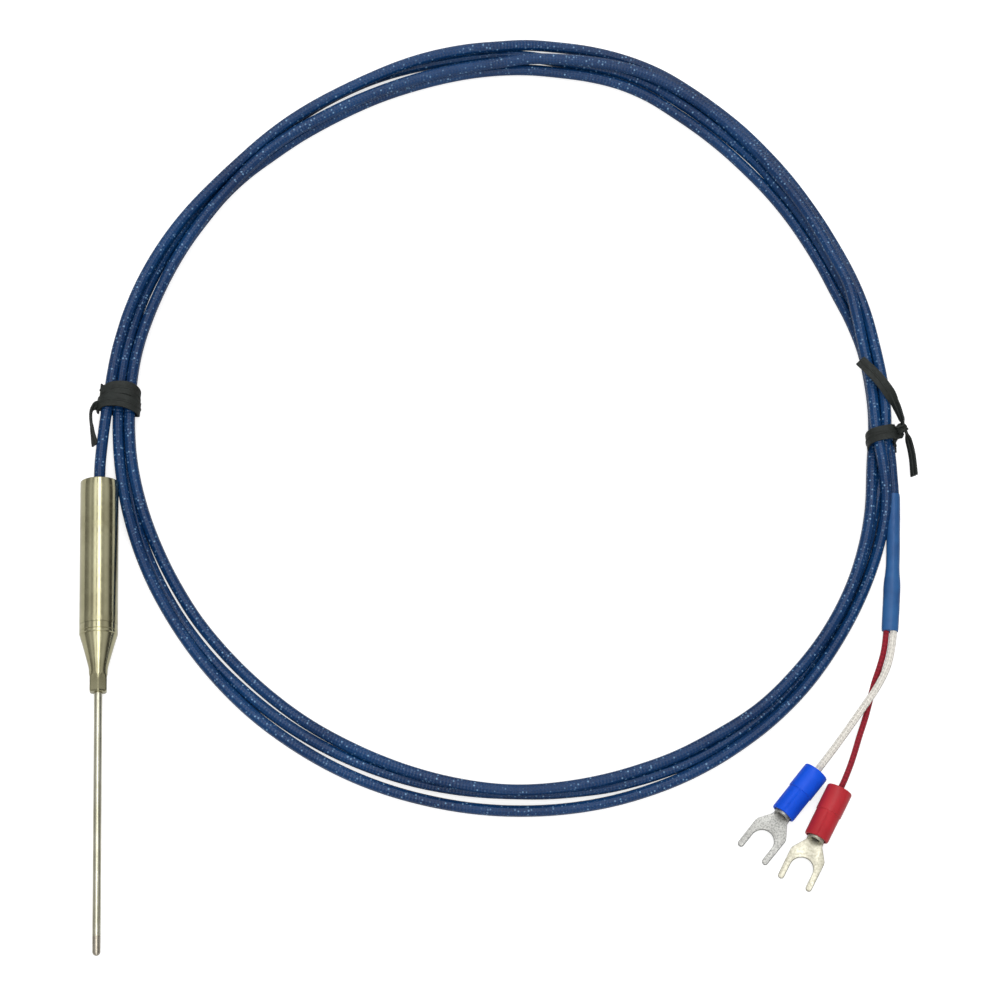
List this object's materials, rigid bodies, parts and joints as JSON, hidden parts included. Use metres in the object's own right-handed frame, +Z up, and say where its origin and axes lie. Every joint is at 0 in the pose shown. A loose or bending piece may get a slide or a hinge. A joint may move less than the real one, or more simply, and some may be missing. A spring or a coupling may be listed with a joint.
{
  "type": "thermocouple",
  "caption": "Needle thermocouple: thin metal sheath, steel transition sleeve, coiled braided blue cable, red and white leads with fork terminals.",
  "frame": {"origin": "Under the middle of the probe, on the surface that it lies on.", "axes": "+Y runs along the probe from its tip to the cable end of its sleeve, +Z is up, and the coil of cable lies towards +X."},
  "size_m": [0.1527, 0.175, 0.007],
  "materials": {
    "sheath_steel": "bright drawn stainless steel",
    "weld_steel": "welded and ground stainless steel, slightly darker",
    "sleeve_steel": "turned stainless steel with fine lathe marks and a warm tint",
    "mineral": "compacted white mineral powder",
    "thermo_alloy": "drawn thermocouple wire",
    "seal_resin": "black sealing resin",
    "potting_resin": "brown potting resin",
    "ferrule_brass": "crimped brass",
    "splice_insulation": "heat-proof sleeve",
    "black_rubber": "matte black rubber",
    "cable_braid": "dark blue braid with pale flecks under a clear jacket",
    "shrink_blue": "satin heat-shrink tube",
    "white_braid": "fine white glass braid",
    "red_braid": "fine crimson glass braid",
    "blue_insulator": "smooth vinyl",
    "red_insulator": "smooth vinyl",
    "tinned_fork": "satin tin plate on copper",
    "bare_conductor": "stranded bare wire",
    "tie_plastic": "matte black ribbon with a fine ribbed face",
    "tie_steel": "galvanised wire"
  },
  "bodies": {
    "root": {"sheath_tube": "sheath_steel", "sheath_tip": "weld_steel", "mineral_packing": "mineral", "thermo_wire_positive": "thermo_alloy", "thermo_wire_negative": "thermo_alloy", "hot_junction": "weld_steel", "sheath_seal": "seal_resin", "sleeve_barrel": "sleeve_steel", "sleeve_nose": "sleeve_steel", "splice_ferrules": "ferrule_brass", "splice_sleeves": "splice_insulation", "potting": "potting_resin", "cable_bush": "black_rubber", "cable_core_positive": "red_braid", "cable_core_negative": "white_braid", "cable_lead_in": "cable_braid", "cable_coil": "cable_braid", "cable_tail": "cable_braid", "shrink_tube": "shrink_blue", "white_lead": "white_braid", "red_lead": "red_braid", "blue_insulator": "blue_insulator", "blue_fork": "tinned_fork", "blue_wire_end": "bare_conductor", "red_insulator": "red_insulator", "red_fork": "tinned_fork", "red_wire_end": "bare_conductor", "left_tie_ribbon": "tie_plastic", "left_tie_wire": "tie_steel", "right_tie_ribbon": "tie_plastic", "right_tie_wire": "tie_steel"}
  },
  "joints": []
}
